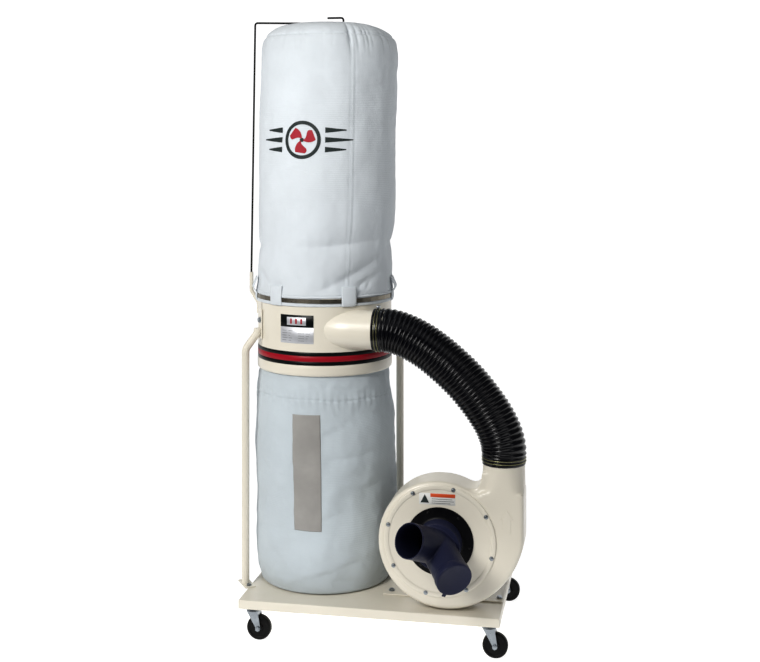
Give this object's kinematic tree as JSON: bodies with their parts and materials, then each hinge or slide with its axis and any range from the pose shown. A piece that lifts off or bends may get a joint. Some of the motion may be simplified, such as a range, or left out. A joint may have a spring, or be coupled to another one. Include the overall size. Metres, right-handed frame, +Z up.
{
  "type": "dust collector",
  "caption": "Wheeled two-bag dust collector with a motor-driven blower, forked inlet and ribbed duct to a steel collar between filter bag and chip bag.",
  "frame": {"origin": "on the floor, under the middle of the machine's bounding box", "axes": "+Z up, -Y to the front where the inlet ports point, +X to the blower's side"},
  "size_m": [0.9244, 0.74, 1.9413],
  "materials": {
    "ivory_paint": "satin ivory enamel",
    "black_paint": "satin black enamel",
    "inlet_plastic": "moulded blue-black plastic, soft sheen",
    "black_plastic": "moulded black plastic",
    "red_plastic": "moulded red plastic",
    "wheel_rubber": "hard black rubber",
    "hose_vinyl": "glossy black ribbed vinyl over a wire helix",
    "filter_cloth": "pale blue-white needled filter cloth",
    "zinc_plated_steel": "bright zinc plate",
    "strap_steel": "dark brushed steel",
    "motor_paint": "dark grey enamel",
    "cast_aluminium": "as cast",
    "bright_steel": "ground steel"
  },
  "bodies": {
    "machine": {"bag_strap": "strap_steel", "base_pan": "ivory_paint", "blower_cover": "ivory_paint", "blower_housing": "ivory_paint", "bracket_bolt_1": "zinc_plated_steel", "bracket_bolt_2": "zinc_plated_steel", "bracket_bolt_3": "zinc_plated_steel", "bracket_bolt_4": "zinc_plated_steel", "cable_gland": "black_plastic", "capacitor_cover": "motor_paint", "caster_plate_front_left": "black_paint", "caster_plate_front_right": "black_paint", "caster_plate_rear_left": "black_paint", "caster_plate_rear_right": "black_paint", "collar": "ivory_paint", "collar_bolt_left": "zinc_plated_steel", "collar_bolt_right": "zinc_plated_steel", "foot_bolt_left_1": "zinc_plated_steel", "foot_bolt_left_2": "zinc_plated_steel", "foot_bolt_right_1": "zinc_plated_steel", "foot_bolt_right_2": "zinc_plated_steel", "front_bearing": "bright_steel", "hanger_rod": "black_paint", "hanger_socket": "ivory_paint", "hose": "hose_vinyl", "hose_clamp_blower": "strap_steel", "hose_clamp_collar": "strap_steel", "inlet_flange": "inlet_plastic", "inlet_wye": "inlet_plastic", "lower_bag": "filter_cloth", "motor_bracket": "ivory_paint", "motor_fan_cover": "motor_paint", "motor_front_bell": "cast_aluminium", "motor_housing": "motor_paint", "motor_rear_bell": "cast_aluminium", "post_left": "ivory_paint", "post_right": "ivory_paint", "rear_bearing": "bright_steel", "snap_ring": "strap_steel", "switch_box": "black_paint", "upper_bag": "filter_cloth"},
    "swivel_front_left": {"caster_fork_front_left": "zinc_plated_steel", "caster_axle_front_left": "zinc_plated_steel"},
    "wheel_front_left": {"caster_wheel_front_left": "wheel_rubber"},
    "swivel_front_right": {"caster_fork_front_right": "zinc_plated_steel", "caster_axle_front_right": "zinc_plated_steel"},
    "wheel_front_right": {"caster_wheel_front_right": "wheel_rubber"},
    "swivel_rear_left": {"caster_fork_rear_left": "zinc_plated_steel", "caster_axle_rear_left": "zinc_plated_steel"},
    "wheel_rear_left": {"caster_wheel_rear_left": "wheel_rubber"},
    "swivel_rear_right": {"caster_fork_rear_right": "zinc_plated_steel", "caster_axle_rear_right": "zinc_plated_steel"},
    "wheel_rear_right": {"caster_wheel_rear_right": "wheel_rubber"},
    "rotor": {"motor_shaft": "bright_steel", "motor_fan": "black_plastic", "impeller": "cast_aluminium", "impeller_nut": "zinc_plated_steel"},
    "rocker": {"switch_rocker": "red_plastic"},
    "latch": {"strap_lever": "zinc_plated_steel"},
    "cap": {"port_cap": "inlet_plastic"}
  },
  "joints": [
    {"name": "swivel_front_left", "type": "hinge", "parent": "machine", "child": "swivel_front_left", "pos_m": [-0.37675, -0.14102, 0.095], "axis": [0, 0, 1], "continuous": true},
    {"name": "roll_front_left", "type": "hinge", "parent": "swivel_front_left", "child": "wheel_front_left", "pos_m": [-0.35875, -0.14102, 0.038], "axis": [0, 1, 0], "continuous": true},
    {"name": "swivel_front_right", "type": "hinge", "parent": "machine", "child": "swivel_front_right", "pos_m": [0.35225, -0.14102, 0.095], "axis": [0, 0, 1], "continuous": true},
    {"name": "roll_front_right", "type": "hinge", "parent": "swivel_front_right", "child": "wheel_front_right", "pos_m": [0.37025, -0.14102, 0.038], "axis": [0, 1, 0], "continuous": true},
    {"name": "swivel_rear_left", "type": "hinge", "parent": "machine", "child": "swivel_rear_left", "pos_m": [-0.37675, 0.32098, 0.095], "axis": [0, 0, 1], "continuous": true},
    {"name": "roll_rear_left", "type": "hinge", "parent": "swivel_rear_left", "child": "wheel_rear_left", "pos_m": [-0.35875, 0.32098, 0.038], "axis": [0, 1, 0], "continuous": true},
    {"name": "swivel_rear_right", "type": "hinge", "parent": "machine", "child": "swivel_rear_right", "pos_m": [0.35225, 0.32098, 0.095], "axis": [0, 0, 1], "continuous": true},
    {"name": "roll_rear_right", "type": "hinge", "parent": "swivel_rear_right", "child": "wheel_rear_right", "pos_m": [0.37025, 0.32098, 0.038], "axis": [0, 1, 0], "continuous": true},
    {"name": "rotor_spin", "type": "hinge", "parent": "machine", "child": "rotor", "pos_m": [0.20675, 0.08998, 0.3455], "axis": [0, -1, 0], "continuous": true},
    {"name": "switch_press", "type": "hinge", "parent": "machine", "child": "rocker", "pos_m": [0.32775, 0.05658, 0.3525], "axis": [0, -1, 0], "range_deg": [0, 16]},
    {"name": "latch_open", "type": "hinge", "parent": "machine", "child": "latch", "pos_m": [-0.15945, 0.32086, 1.044], "axis": [0, 0, -1], "range_deg": [0, 140]},
    {"name": "cap_pull", "type": "slide", "parent": "machine", "child": "cap", "axis": [0.4632, -0.809, -0.3619], "range_m": [0, 0.035]}
  ]
}
